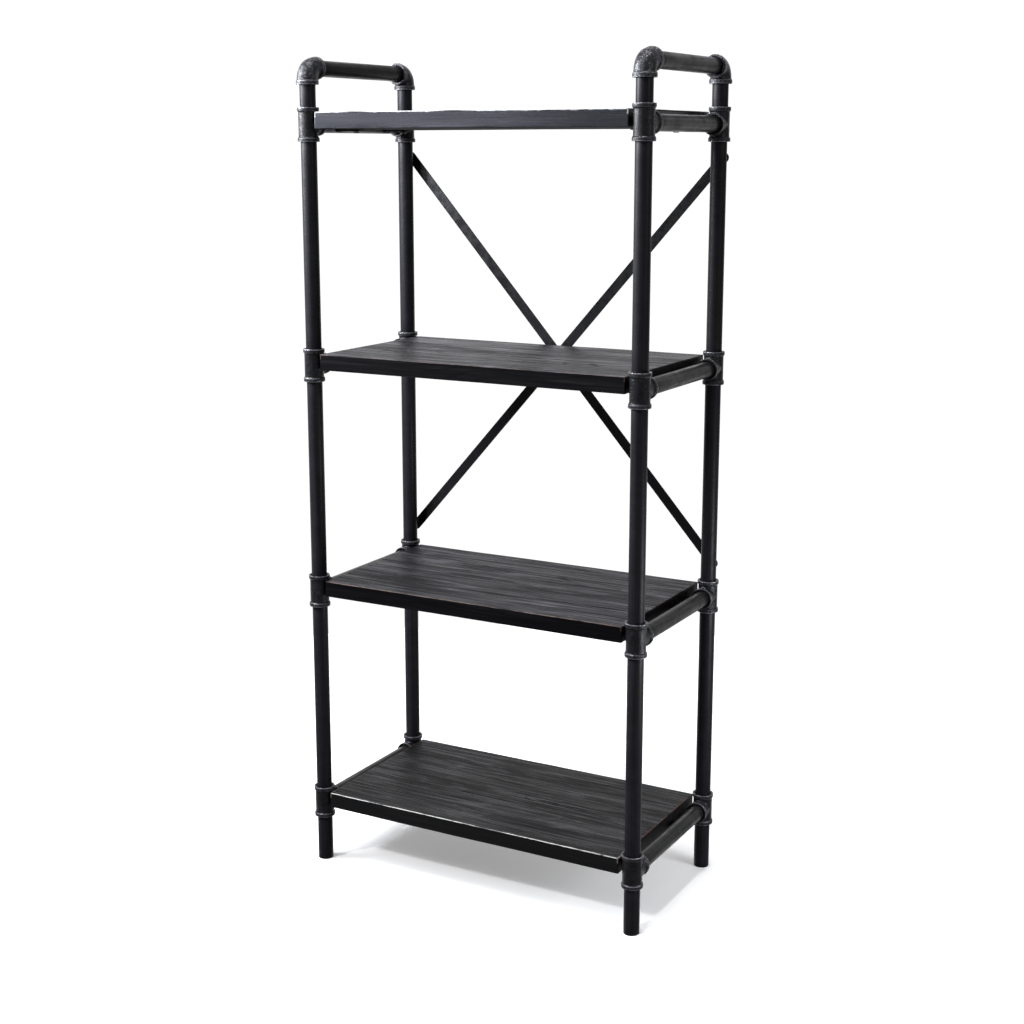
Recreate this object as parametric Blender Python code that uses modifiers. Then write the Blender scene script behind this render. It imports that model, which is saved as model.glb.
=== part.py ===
"""Pipe bookcase: four pipe legs with tee fittings at four levels, side rails, four fixed timber
shelves, a pipe handle over each side and a cross brace of two flat bars at the back.

Metres, +Z up, X across the width, +Y towards the back. The origin is at floor level, at the
middle of the whole object's box.
"""
import math

import bmesh
import bpy
from mathutils import Matrix, Vector

# Overall sizes
LEG_SPACING_X = 0.740  # between leg axes, across the width
LEG_SPACING_Y = 0.360  # between leg axes, front to back
BOTTOM_LEVEL = 0.133  # floor to the centre of the bottom tees
LOWER_BAY = 0.475  # bottom tees to lower tees
MIDDLE_BAY = 0.482  # lower tees to upper tees
UPPER_BAY = 0.486  # upper tees to top tees
HANDLE_RISE = 0.111  # top tees to the axis of the handle pipes

# Pipes
PIPE_RADIUS = 0.016
PIPE_WALL = 0.002
SOCKET_DEPTH = 0.014  # how far a pipe goes into a tee
SOCKET_CLEARANCE = 0.0003  # radial, pipe in fitting
TOUCH_GAP = 0.0003  # between faces that rest on each other

# Tees: a vertical run and one branch, with a raised collar round each mouth
TEE_WALL = 0.0037  # outside the bore
TEE_RUN_NECK = 0.014  # from the side of the branch to each mouth of the run
TEE_BRANCH_NECK = 0.015  # from the side of the run to the mouth of the branch
TEE_COLLAR_HEIGHT = 0.002  # how far a collar stands out from the body
TEE_COLLAR_WIDTH = 0.009

# Elbows: two arms at a right angle, with a raised collar round each mouth
ELBOW_WALL = 0.0047  # outside the bore
ELBOW_INNER_BEND = 0.001  # radius of the inside corner
ELBOW_NECK = 0.011  # straight stretch from the bend to each mouth
ELBOW_COLLAR_HEIGHT = 0.002
ELBOW_COLLAR_WIDTH = 0.010
ELBOW_BEND_STEPS = 4

# Shelves
SHELF_THICKNESS = 0.0335
SHELF_RISE = 0.025  # shelf top above the tee centres
SHELF_END_GAP = 0.0093  # shelf end to the side of the rail
SHELF_FRONT_OVERHANG = 0.0142  # in front of the front leg axes
SHELF_BACK_OVERHANG = 0.0048  # behind the back leg axes
SHELF_EDGE_RADIUS = 0.002

# Tabs under the shelves, welded to the side rails
TAB_THICKNESS = 0.004
TAB_WIDTH = 0.026
TAB_INSET = 0.088  # tab centre from the middle of the rail
TAB_REACH = 0.040  # how far a tab goes in under the shelf
TAB_HOLE_RADIUS = 0.0028
TAB_HOLE_INSET = 0.012  # hole centre from the tab's free end

# Cross brace
BAR_WIDTH = 0.020
BAR_THICKNESS = 0.003
BRACE_TOP_DROP = 0.065  # top bolts below the top tee centres
BRACE_BOTTOM_RISE = 0.064  # bottom bolts above the lower tee centres
BOSS_RADIUS = 0.0065
BOLT_RADIUS = 0.003
BOLT_CLEARANCE = 0.0003
BOLT_HEAD_RADIUS = 0.0065
BOLT_HEAD_HEIGHT = 0.0045
BOLT_GRIP = 0.009  # shank past the bar, in the boss

PIPE_SIDES = 16
BOLT_SIDES = 12

# Worked out from the sizes above
BORE_RADIUS = PIPE_RADIUS + SOCKET_CLEARANCE
TEE_RADIUS = BORE_RADIUS + TEE_WALL
TEE_HALF_RUN = TEE_RADIUS + TEE_RUN_NECK
TEE_BRANCH_REACH = TEE_RADIUS + TEE_BRANCH_NECK
TEE_COLLAR_RADIUS = TEE_RADIUS + TEE_COLLAR_HEIGHT
ELBOW_RADIUS = BORE_RADIUS + ELBOW_WALL
ELBOW_BEND = ELBOW_RADIUS + ELBOW_INNER_BEND
ELBOW_ARM = ELBOW_BEND + ELBOW_NECK
ELBOW_COLLAR_RADIUS = ELBOW_RADIUS + ELBOW_COLLAR_HEIGHT
PIPE_END_IN_ELBOW = ELBOW_BEND + TOUCH_GAP  # from where the arms cross, just short of the bend

LOWER_LEVEL = BOTTOM_LEVEL + LOWER_BAY
UPPER_LEVEL = LOWER_LEVEL + MIDDLE_BAY
TOP_LEVEL = UPPER_LEVEL + UPPER_BAY
LEVELS = {"bottom": BOTTOM_LEVEL, "lower": LOWER_LEVEL, "upper": UPPER_LEVEL, "top": TOP_LEVEL}
HANDLE_HEIGHT = TOP_LEVEL + HANDLE_RISE

# The bars clear the widest fitting on the legs; the outer bar clears the inner one.
INNER_BOSS_REACH = max(TEE_COLLAR_RADIUS, ELBOW_COLLAR_RADIUS)
OUTER_BOSS_REACH = INNER_BOSS_REACH + TOUCH_GAP + BAR_THICKNESS
BACK_REACH = OUTER_BOSS_REACH + TOUCH_GAP + BAR_THICKNESS + TOUCH_GAP + BOLT_HEAD_HEIGHT
FRONT_REACH = max(TEE_COLLAR_RADIUS, ELBOW_COLLAR_RADIUS, SHELF_FRONT_OVERHANG)

LEG_X = {"left": -LEG_SPACING_X / 2, "right": LEG_SPACING_X / 2}
MIDDLE_Y = (FRONT_REACH - BACK_REACH) / 2
LEG_Y = {"front": MIDDLE_Y - LEG_SPACING_Y / 2, "back": MIDDLE_Y + LEG_SPACING_Y / 2}
BOLT_Z = {"top": TOP_LEVEL - BRACE_TOP_DROP, "bottom": LOWER_LEVEL + BRACE_BOTTOM_RISE}


def start():
    """Clears the scene and makes the two collections."""
    for old in list(bpy.data.objects):
        bpy.data.objects.remove(old)
    made = []
    for name in ("pipe_bookcase", "cutters"):
        collection = bpy.data.collections.new(name)
        bpy.context.scene.collection.children.link(collection)
        made.append(collection)
    return made


PARTS, CUTTERS = start()


def material(name, color, roughness, metallic):
    finish = bpy.data.materials.new(name)
    finish.use_nodes = True
    shader = finish.node_tree.nodes["Principled BSDF"]
    shader.inputs["Base Color"].default_value = (*color, 1.0)
    shader.inputs["Roughness"].default_value = roughness
    shader.inputs["Metallic"].default_value = metallic
    return finish


PIPE_STEEL = material("pipe_steel", (0.035, 0.036, 0.042), 0.45, 0.6)
FITTING_IRON = material("fitting_iron", (0.045, 0.045, 0.050), 0.50, 0.6)
BAR_STEEL = material("bar_steel", (0.030, 0.031, 0.036), 0.45, 0.6)
BOLT_STEEL = material("bolt_steel", (0.060, 0.060, 0.065), 0.35, 0.8)
TIMBER = material("stained_timber", (0.025, 0.025, 0.027), 0.60, 0.0)


def mesh_of(shape, name):
    """Turns a bmesh into a mesh and frees it."""
    bmesh.ops.recalc_face_normals(shape, faces=shape.faces)
    mesh = bpy.data.meshes.new(name)
    shape.to_mesh(mesh)
    shape.free()
    return mesh


def blank(name, mesh):
    """A body that the modifiers work on, or a cutter for them."""
    body = bpy.data.objects.new(name, mesh)
    body.hide_render = True
    body.display_type = "WIRE"
    CUTTERS.objects.link(body)
    return body


def rod(name, radius, start_point, end_point, sides=PIPE_SIDES):
    """A closed cylinder from one point to another."""
    start_point = Vector(start_point)
    end_point = Vector(end_point)
    span = end_point - start_point
    turn = Vector((0.0, 0.0, 1.0)).rotation_difference(span).to_matrix().to_4x4()
    place = Matrix.Translation((start_point + end_point) / 2) @ turn
    shape = bmesh.new()
    bmesh.ops.create_cone(
        shape, cap_ends=True, segments=sides, radius1=radius, radius2=radius,
        depth=span.length, matrix=place,
    )
    return blank(name, mesh_of(shape, name))


def block(name, low, high):
    """A box between two corners."""
    low = Vector(low)
    high = Vector(high)
    size = Matrix.Diagonal((*(high - low), 1.0))
    shape = bmesh.new()
    bmesh.ops.create_cube(shape, size=1.0, matrix=Matrix.Translation((low + high) / 2) @ size)
    return blank(name, mesh_of(shape, name))


def turned(name, profile, sides=PIPE_SIDES):
    """A solid turned round Z from (radius, height) points that run from the top to the bottom."""
    points = [(radius, 0.0, height) for radius, height in profile]
    edges = [(i, i + 1) for i in range(len(points) - 1)]
    mesh = bpy.data.meshes.new(name)
    mesh.from_pydata(points, edges, [])
    body = blank(name, mesh)
    screw = body.modifiers.new("turn", "SCREW")
    screw.axis = "Z"
    screw.steps = sides
    screw.render_steps = sides
    screw.use_merge_vertices = True
    screw.merge_threshold = 0.00001
    return body


def combine(body, other, operation):
    step = body.modifiers.new(operation.lower(), "BOOLEAN")
    step.operation = operation
    step.solver = "EXACT"
    step.object = other


def finished(body, name, finish, smooth_angle=35.0):
    """The mesh that a blank's modifiers make, with its material; the blank itself is removed."""
    bpy.context.view_layer.update()
    graph = bpy.context.evaluated_depsgraph_get()
    mesh = bpy.data.meshes.new_from_object(body.evaluated_get(graph))
    mesh.name = name
    mesh.materials.clear()
    mesh.materials.append(finish)
    mesh.shade_smooth()
    mesh.set_sharp_from_angle(angle=math.radians(smooth_angle))
    bpy.data.objects.remove(body)
    return mesh


def add_part(name, mesh, location, turn_z=0.0):
    part = bpy.data.objects.new(name, mesh)
    part.location = location
    part.rotation_euler = (0.0, 0.0, turn_z)
    PARTS.objects.link(part)
    return part


def pipe_mesh(name, length, boss=None):
    """A pipe standing on the origin. boss is (height, reach) of a welded boss on its +Y side."""
    body = rod(name, PIPE_RADIUS, (0, 0, 0), (0, 0, length))
    if boss:
        height, reach = boss
        welded = rod(name + "_boss", BOSS_RADIUS, (0, 0, height), (0, reach, height), BOLT_SIDES)
        combine(body, welded, "UNION")
    bore = rod(name + "_bore", PIPE_RADIUS - PIPE_WALL, (0, 0, -PIPE_RADIUS), (0, 0, length + PIPE_RADIUS))
    combine(body, bore, "DIFFERENCE")
    if boss:
        hole_radius = BOLT_RADIUS + BOLT_CLEARANCE
        hole = rod(name + "_hole", hole_radius, (0, 0, height), (0, reach + BAR_WIDTH, height), BOLT_SIDES)
        combine(body, hole, "DIFFERENCE")
    return finished(body, name, PIPE_STEEL)


def tee_mesh():
    """A tee centred on the origin, its run along Z and its branch along +Y."""
    run_collar = TEE_HALF_RUN - TEE_COLLAR_WIDTH
    run = turned("tee_run", [
        (0, TEE_HALF_RUN),
        (TEE_COLLAR_RADIUS, TEE_HALF_RUN),
        (TEE_COLLAR_RADIUS, run_collar + TEE_COLLAR_HEIGHT),
        (TEE_RADIUS, run_collar),
        (TEE_RADIUS, -run_collar),
        (TEE_COLLAR_RADIUS, -run_collar - TEE_COLLAR_HEIGHT),
        (TEE_COLLAR_RADIUS, -TEE_HALF_RUN),
        (0, -TEE_HALF_RUN),
    ])
    # The branch is a hair slimmer than the run, as on a casting, so their sides don't coincide.
    branch_radius = TEE_RADIUS - TOUCH_GAP
    branch_collar = TEE_BRANCH_REACH - TEE_COLLAR_WIDTH
    branch = turned("tee_branch", [
        (0, TEE_BRANCH_REACH),
        (branch_radius + TEE_COLLAR_HEIGHT, TEE_BRANCH_REACH),
        (branch_radius + TEE_COLLAR_HEIGHT, branch_collar + TEE_COLLAR_HEIGHT),
        (branch_radius, branch_collar),
        (branch_radius, 0),
        (0, 0),
    ])
    branch.rotation_euler = (math.radians(-90), 0, 0)
    combine(run, branch, "UNION")
    past_end = PIPE_RADIUS
    run_bore = rod(
        "tee_run_bore", BORE_RADIUS,
        (0, 0, -TEE_HALF_RUN - past_end), (0, 0, TEE_HALF_RUN + past_end),
    )
    combine(run, run_bore, "DIFFERENCE")
    branch_bore = rod("tee_branch_bore", BORE_RADIUS, (0, 0, 0), (0, TEE_BRANCH_REACH + past_end, 0))
    combine(run, branch_bore, "DIFFERENCE")
    return finished(run, "tee", FITTING_IRON)


def bent_rod(name, radius, arm):
    """A closed rod that comes up Z, bends a quarter turn and leaves along +Y, crossing at the origin."""
    bend_centre = Vector((0, ELBOW_BEND, -ELBOW_BEND))
    step = math.radians(90) / ELBOW_BEND_STEPS
    bend_step = (
        Matrix.Translation(bend_centre)
        @ Matrix.Rotation(-step, 4, "X")
        @ Matrix.Translation(-bend_centre)
    )
    straight = arm - ELBOW_BEND
    moves = [Matrix.Translation((0, 0, straight))]
    moves += [bend_step] * ELBOW_BEND_STEPS
    moves += [Matrix.Translation((0, straight, 0))]
    shape = bmesh.new()
    bmesh.ops.create_circle(
        shape, cap_ends=False, segments=PIPE_SIDES, radius=radius,
        matrix=Matrix.Translation((0, 0, -arm)),
    )
    ring = list(shape.edges)
    for move in moves:
        grown = bmesh.ops.extrude_edge_only(shape, edges=ring)["geom"]
        verts = [item for item in grown if isinstance(item, bmesh.types.BMVert)]
        ring_verts = set(verts)
        ring = [
            item for item in grown
            if isinstance(item, bmesh.types.BMEdge) and ring_verts.issuperset(item.verts)
        ]
        bmesh.ops.transform(shape, matrix=move, verts=verts)
    bmesh.ops.holes_fill(shape, edges=[edge for edge in shape.edges if edge.is_boundary])
    return blank(name, mesh_of(shape, name))


def elbow_mesh():
    """An elbow with one mouth facing down and one facing +Y; its axes cross at the origin."""
    body = bent_rod("elbow_body", ELBOW_RADIUS, ELBOW_ARM)
    collar_start = ELBOW_ARM - ELBOW_COLLAR_WIDTH
    # The collars end just past the body, so that no two faces lie in one plane.
    collar_end = ELBOW_ARM + TOUCH_GAP
    down = rod("elbow_collar_down", ELBOW_COLLAR_RADIUS, (0, 0, -collar_end), (0, 0, -collar_start))
    side = rod("elbow_collar_side", ELBOW_COLLAR_RADIUS, (0, collar_start, 0), (0, collar_end, 0))
    combine(body, down, "UNION")
    combine(body, side, "UNION")
    combine(body, bent_rod("elbow_bore", BORE_RADIUS, ELBOW_ARM + PIPE_RADIUS), "DIFFERENCE")
    return finished(body, "elbow", FITTING_IRON)


def rail_mesh():
    """A side rail along Y, centred on the origin, with its two shelf tabs pointing to +X."""
    half_length = LEG_SPACING_Y / 2 - TEE_BRANCH_REACH + SOCKET_DEPTH
    body = rod("rail_pipe", PIPE_RADIUS, (0, -half_length, 0), (0, half_length, 0))
    shelf_underside = SHELF_RISE - SHELF_THICKNESS
    tab_top = shelf_underside - TOUCH_GAP
    tab_end = PIPE_RADIUS + SHELF_END_GAP + TAB_REACH
    holes = []
    for side in (-1, 1):
        centre_y = side * TAB_INSET
        tab = block(
            "rail_tab",
            (0, centre_y - TAB_WIDTH / 2, tab_top - TAB_THICKNESS),
            (tab_end, centre_y + TAB_WIDTH / 2, tab_top),
        )
        combine(body, tab, "UNION")
        hole_x = tab_end - TAB_HOLE_INSET
        holes.append(rod(
            "rail_tab_hole", TAB_HOLE_RADIUS,
            (hole_x, centre_y, tab_top - 2 * TAB_THICKNESS),
            (hole_x, centre_y, tab_top + TAB_THICKNESS),
            BOLT_SIDES,
        ))
    past_end = PIPE_RADIUS
    bore = rod(
        "rail_bore", PIPE_RADIUS - PIPE_WALL,
        (0, -half_length - past_end, 0), (0, half_length + past_end, 0),
    )
    combine(body, bore, "DIFFERENCE")
    for hole in holes:
        combine(body, hole, "DIFFERENCE")
    return finished(body, "rail", PIPE_STEEL)


def shelf_mesh():
    """A shelf board about the legs' middle line, its top at SHELF_RISE."""
    half_length = LEG_SPACING_X / 2 - PIPE_RADIUS - SHELF_END_GAP
    body = block(
        "shelf_board",
        (-half_length, -LEG_SPACING_Y / 2 - SHELF_FRONT_OVERHANG, SHELF_RISE - SHELF_THICKNESS),
        (half_length, LEG_SPACING_Y / 2 + SHELF_BACK_OVERHANG, SHELF_RISE),
    )
    bevel = body.modifiers.new("worn_edges", "BEVEL")
    bevel.width = SHELF_EDGE_RADIUS
    bevel.segments = 2
    return finished(body, "shelf", TIMBER, smooth_angle=50.0)


def bar_mesh():
    """A brace bar along X, centred on the origin and flat in Y, with round ends and two holes."""
    half_reach = math.hypot(LEG_SPACING_X, BOLT_Z["top"] - BOLT_Z["bottom"]) / 2
    body = block(
        "bar_flat",
        (-half_reach, -BAR_THICKNESS / 2, -BAR_WIDTH / 2),
        (half_reach, BAR_THICKNESS / 2, BAR_WIDTH / 2),
    )
    holes = []
    for end in (-half_reach, half_reach):
        low = (end, -BAR_THICKNESS / 2, 0)
        high = (end, BAR_THICKNESS / 2, 0)
        combine(body, rod("bar_end", BAR_WIDTH / 2, low, high), "UNION")
        low = (end, -BAR_THICKNESS, 0)
        high = (end, BAR_THICKNESS, 0)
        holes.append(rod("bar_hole", BOLT_RADIUS + BOLT_CLEARANCE, low, high, BOLT_SIDES))
    for hole in holes:
        combine(body, hole, "DIFFERENCE")
    return finished(body, "brace_bar", BAR_STEEL)


def bolt_mesh(grip):
    """A domed bolt on the Y axis: its head stands on the origin and its shank goes to -Y."""
    dome = [
        (BOLT_HEAD_RADIUS * math.sin(turn), BOLT_HEAD_HEIGHT * math.cos(turn))
        for turn in (math.radians(angle) for angle in (0, 30, 60))
    ]
    body = turned("bolt_body", [
        *dome,
        (BOLT_HEAD_RADIUS, 0),
        (BOLT_RADIUS, 0),
        (BOLT_RADIUS, -grip),
        (0, -grip),
    ], BOLT_SIDES)
    mesh = finished(body, "brace_bolt", BOLT_STEEL)
    mesh.transform(Matrix.Rotation(math.radians(-90), 4, "X"))
    return mesh


def add_legs():
    """Each leg: a foot pipe, three pipes between the tees and a short one up to the elbow."""
    pipe_in_tee = TEE_HALF_RUN - SOCKET_DEPTH
    runs = {
        "foot": (0.0, BOTTOM_LEVEL - pipe_in_tee),
        "lower": (BOTTOM_LEVEL + pipe_in_tee, LOWER_LEVEL - pipe_in_tee),
        "middle": (LOWER_LEVEL + pipe_in_tee, UPPER_LEVEL - pipe_in_tee),
        "upper": (UPPER_LEVEL + pipe_in_tee, TOP_LEVEL - pipe_in_tee),
        "handle": (TOP_LEVEL + pipe_in_tee, HANDLE_HEIGHT - PIPE_END_IN_ELBOW),
    }
    boss_reach = {
        ("left", "upper"): INNER_BOSS_REACH,
        ("right", "middle"): INNER_BOSS_REACH,
        ("right", "upper"): OUTER_BOSS_REACH,
        ("left", "middle"): OUTER_BOSS_REACH,
    }
    boss_height = {"upper": BOLT_Z["top"], "middle": BOLT_Z["bottom"]}
    for run, (low, high) in runs.items():
        plain = pipe_mesh("leg_pipe_" + run, high - low)
        for side, x in LEG_X.items():
            for face, y in LEG_Y.items():
                mesh = plain
                reach = boss_reach.get((side, run))
                if face == "back" and reach:
                    boss = (boss_height[run] - low, reach)
                    mesh = pipe_mesh(f"leg_pipe_{run}_{side}", high - low, boss)
                add_part(f"leg_{face}_{side}_{run}_pipe", mesh, (x, y, low))


def add_fittings():
    """A tee on every leg at every level, and an elbow on top of every leg, all facing inwards."""
    tee = tee_mesh()
    elbow = elbow_mesh()
    for face, y in LEG_Y.items():
        turn = 0.0 if face == "front" else math.pi
        for side, x in LEG_X.items():
            for level, z in LEVELS.items():
                add_part(f"tee_{face}_{side}_{level}", tee, (x, y, z), turn)
            add_part(f"elbow_{face}_{side}", elbow, (x, y, HANDLE_HEIGHT), turn)


def add_side_rails():
    """The tabbed rails that carry the shelves, and the plain handle pipes on top."""
    rail = rail_mesh()
    half_handle = LEG_SPACING_Y / 2 - PIPE_END_IN_ELBOW
    handle = pipe_mesh("handle_pipe", 2 * half_handle)
    handle.transform(Matrix.Rotation(math.radians(-90), 4, "X"))
    for side, x in LEG_X.items():
        turn = 0.0 if side == "left" else math.pi
        for level, z in LEVELS.items():
            add_part(f"rail_{side}_{level}", rail, (x, MIDDLE_Y, z), turn)
        add_part(f"handle_pipe_{side}", handle, (x, MIDDLE_Y - half_handle, HANDLE_HEIGHT))


def add_shelves():
    shelf = shelf_mesh()
    for level, z in LEVELS.items():
        add_part(f"shelf_{level}", shelf, (0.0, MIDDLE_Y, z))


def add_brace():
    """Two bars that cross behind the back legs, one in front of the other, on four bolts."""
    bar = bar_mesh()
    middle_z = (BOLT_Z["top"] + BOLT_Z["bottom"]) / 2
    slope = math.atan2(BOLT_Z["top"] - BOLT_Z["bottom"], LEG_SPACING_X)
    bars = {
        "inner": (INNER_BOSS_REACH, slope, {"top": "left", "bottom": "right"}),
        "outer": (OUTER_BOSS_REACH, -slope, {"top": "right", "bottom": "left"}),
    }
    for name, (boss_reach, turn, ends) in bars.items():
        bar_front = LEG_Y["back"] + boss_reach + TOUCH_GAP
        part = add_part(f"brace_bar_{name}", bar, (0.0, bar_front + BAR_THICKNESS / 2, middle_z))
        part.rotation_euler = (0.0, turn, 0.0)
        bolt = bolt_mesh(BOLT_GRIP + BAR_THICKNESS + 2 * TOUCH_GAP)
        bolt_seat = bar_front + BAR_THICKNESS + TOUCH_GAP
        for height, side in ends.items():
            add_part(f"brace_bolt_{height}_{side}", bolt, (LEG_X[side], bolt_seat, BOLT_Z[height]))


add_legs()
add_fittings()
add_side_rails()
add_shelves()
add_brace()
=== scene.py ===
"""The looks of the pipe bookcase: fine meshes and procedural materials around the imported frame.

Metres, +Z up, X across the width, +Y towards the back. Every place comes from the frame's nodes.
"""
import math
import random

import bmesh
import bpy
import numpy as np
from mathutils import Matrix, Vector, noise


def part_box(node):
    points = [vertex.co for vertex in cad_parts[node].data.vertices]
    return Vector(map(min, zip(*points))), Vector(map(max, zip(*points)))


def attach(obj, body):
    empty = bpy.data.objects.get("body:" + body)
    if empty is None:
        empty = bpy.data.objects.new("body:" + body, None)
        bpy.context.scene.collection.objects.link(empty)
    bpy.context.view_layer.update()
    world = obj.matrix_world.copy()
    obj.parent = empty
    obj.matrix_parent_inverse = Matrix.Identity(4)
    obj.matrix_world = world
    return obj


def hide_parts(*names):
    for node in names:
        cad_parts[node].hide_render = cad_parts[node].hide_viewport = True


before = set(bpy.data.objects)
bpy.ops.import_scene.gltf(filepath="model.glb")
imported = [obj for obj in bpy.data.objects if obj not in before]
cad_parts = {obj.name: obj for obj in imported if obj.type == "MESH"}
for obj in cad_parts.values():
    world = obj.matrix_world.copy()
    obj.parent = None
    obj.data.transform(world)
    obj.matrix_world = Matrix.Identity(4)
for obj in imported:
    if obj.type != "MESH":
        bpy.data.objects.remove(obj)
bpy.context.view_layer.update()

SCENE = bpy.context.scene

SIDES = ("left", "right")
FACES = ("front", "back")
LEVELS = ("bottom", "lower", "upper", "top")
LEG_RUNS = ("foot", "lower", "middle", "upper", "handle")


# ---------------------------------------------------------------- places, from the frame
def middle(node):
    low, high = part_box(node)
    return (Vector(low) + Vector(high)) / 2


LEG_X = {side: middle(f"leg_front_{side}_foot_pipe").x for side in SIDES}
LEG_Y = {face: middle(f"leg_{face}_left_foot_pipe").y for face in FACES}
LEVEL_Z = {level: middle(f"tee_front_left_{level}").z for level in LEVELS}
HANDLE_Z = middle("handle_pipe_left").z
MIDDLE = Vector((0, (LEG_Y["front"] + LEG_Y["back"]) / 2, 0))
SHELF_HALF = [size / 2 for size in Vector(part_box("shelf_top")[1]) - Vector(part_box("shelf_top")[0])]

# ---------------------------------------------------------------- sizes
# Pipes and fittings
PIPE_RADIUS = 0.0162
PIPE_WALL = 0.002
PIPE_EDGE_BREAK = 0.0005
BORE_RADIUS = 0.0165
TEE_RADIUS = 0.020
BRANCH_RADIUS = 0.0196
TEE_COLLAR_RADIUS = 0.0222
TEE_HALF_RUN = 0.034
TEE_BRANCH_REACH = 0.035
TEE_COLLAR_WIDTH = 0.0092
BRANCH_FILLET = 0.0035
BRANCH_FOOT_RINGS = 12
BRANCH_CUT_START = 0.012  # inside the run's bore
ELBOW_RADIUS = 0.021
ELBOW_COLLAR_RADIUS = 0.023
ELBOW_COLLAR_WIDTH = 0.0098
ELBOW_BEND = 0.022
ELBOW_NECK = 0.011
MOUTH_RADIUS = 0.0182  # the recess round an entering pipe
MOUTH_DEPTH = 0.0022
LIP_ROUND = 0.0012
COLLAR_ROUND = 0.0018  # on the collar's inner edge
RIM_WIDTH = 0.0009  # how far below a collar's radius its rub begins
PIPE_SIDES = 64
FITTING_SIDES = 72
CUTTER_SIDES = 70  # another number than the fitting's, so that no two facets coincide

# Tabs, brace and fasteners
TAB_INSET = 0.088
TAB_WIDTH = 0.026
TAB_THICKNESS = 0.004
TAB_HOLE_RADIUS = 0.0028
TAB_HOLE_INSET = 0.012
TAB_CORNER = 0.006
TAB_EDGE = 0.0005
TAB_SINK = 0.0015  # how far a tab's root is sunk in its rail
SHELF_GAP = 0.0003
SEAT_GAP = 0.0002  # under a head or beside a bar
WELD_RADIUS = 0.0022
WELD_INSET = 0.002  # how much shorter than its tab a bead is
WELD_RIPPLE = 0.0011
SCREW_HEAD_RADIUS = 0.0068
SCREW_HEAD_HEIGHT = 0.0036
SCREW_RADIUS = 0.0024
SCREW_LENGTH = 0.015
SOCKET_RADIUS = 0.0023
SOCKET_DEPTH = 0.0018
BAR_WIDTH = 0.020
BAR_THICKNESS = 0.003
BAR_HOLE_RADIUS = 0.0033
BAR_EDGE = 0.0004
BOSS_RADIUS = 0.0065
BOSS_ROOT = 0.010
BOLT_HEAD_RADIUS = 0.0065
BOLT_HEAD_HEIGHT = 0.0044
BOLT_SHANK_RADIUS = 0.003
BOLT_SHANK_LENGTH = 0.011
BOLT_RIM = 0.0006
RIVET_RADIUS = 0.0030
RIVET_HEAD_RADIUS = 0.0052
RIVET_HEAD_HEIGHT = 0.0016

# Shelves
EDGE_ROUND = 0.0016
EDGE_INSETS = (0.0006, 0.0013, 0.0022, 0.0035)  # closer cuts along the edges, for their rounding
BOARD_SPREAD = 0.0007  # how far each board end passes the CAD one, towards the fittings
BOARD_SINK = 0.0003  # how far its skin lies below the CAD one, to leave room for the relief
CHECK_COUNT = 5
CHECK_HALF_WIDTH = 0.0012
GRAIN_WANDER = 0.0028
BOARD_SEED = 100


# ---------------------------------------------------------------- mesh tools
def shaded(mesh, sharp_angle=32):
    """Smooth shading, with sharp edges where the faces meet at more than the angle in degrees."""
    mesh.shade_smooth()
    mesh.set_sharp_from_angle(angle=math.radians(sharp_angle))
    return mesh


def finished_mesh(name, points, faces, sharp_angle=32):
    """A smooth-shaded mesh with its faces pointing out."""
    mesh = bpy.data.meshes.new(name)
    mesh.from_pydata([tuple(point) for point in points], [], [tuple(face) for face in faces])
    shape = bmesh.new()
    shape.from_mesh(mesh)
    bmesh.ops.recalc_face_normals(shape, faces=shape.faces)
    shape.to_mesh(mesh)
    shape.free()
    return shaded(mesh, sharp_angle)


def put(name, mesh, material, location=(0, 0, 0), turn=0.0, nodes=()):
    """Places one piece, which rides on the frame's only body."""
    piece = bpy.data.objects.new(name, mesh)
    piece.location = location
    piece.rotation_euler.z = turn
    if not mesh.materials:
        mesh.materials.append(material)
    SCENE.collection.objects.link(piece)
    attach(piece, "root")
    if nodes:
        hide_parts(*nodes)
    return piece


def eased(corners, steps=4, closed=True):
    """The outline through corners (u, v, ease), each corner rounded over its ease."""
    outline = []
    for index, (u, v, ease) in enumerate(corners):
        corner = Vector((u, v))
        if ease == 0 or (not closed and index in (0, len(corners) - 1)):
            outline.append(corner)
            continue
        before = Vector(corners[index - 1][:2]) - corner
        after = Vector(corners[(index + 1) % len(corners)][:2]) - corner
        start = corner + before.normalized() * min(ease, before.length / 2)
        end = corner + after.normalized() * min(ease, after.length / 2)
        for step in range(steps + 1):
            part = step / steps
            first = start.lerp(corner, part)
            second = corner.lerp(end, part)
            outline.append(first.lerp(second, part))
    return outline


def spaced(outline, longest, closed=True):
    """The same outline with its long runs cut into shorter ones."""
    points = []
    count = len(outline) if closed else len(outline) - 1
    for index in range(count):
        start = outline[index]
        end = outline[(index + 1) % len(outline)]
        cuts = max(1, math.ceil((end - start).length / longest))
        points += [start.lerp(end, cut / cuts) for cut in range(cuts)]
    if not closed:
        points.append(outline[-1])
    return points


def upright(along):
    """A straight path up the Z axis: its centre and its two cross directions."""
    return Vector((0, 0, along)), Vector((1, 0, 0)), Vector((0, 1, 0))


def level(along):
    """A straight path along the Y axis."""
    return Vector((0, along, 0)), Vector((1, 0, 0)), Vector((0, 0, 1))


def ring_faces(rings, sides, closed=False):
    """The quads between rings of points. Closed joins the last ring to the first."""
    faces = []
    for ring in range(rings if closed else rings - 1):
        here = ring * sides
        there = (ring + 1) % rings * sides
        for step in range(sides):
            after = (step + 1) % sides
            faces.append((here + step, here + after, there + after, there + step))
    return faces


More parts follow.
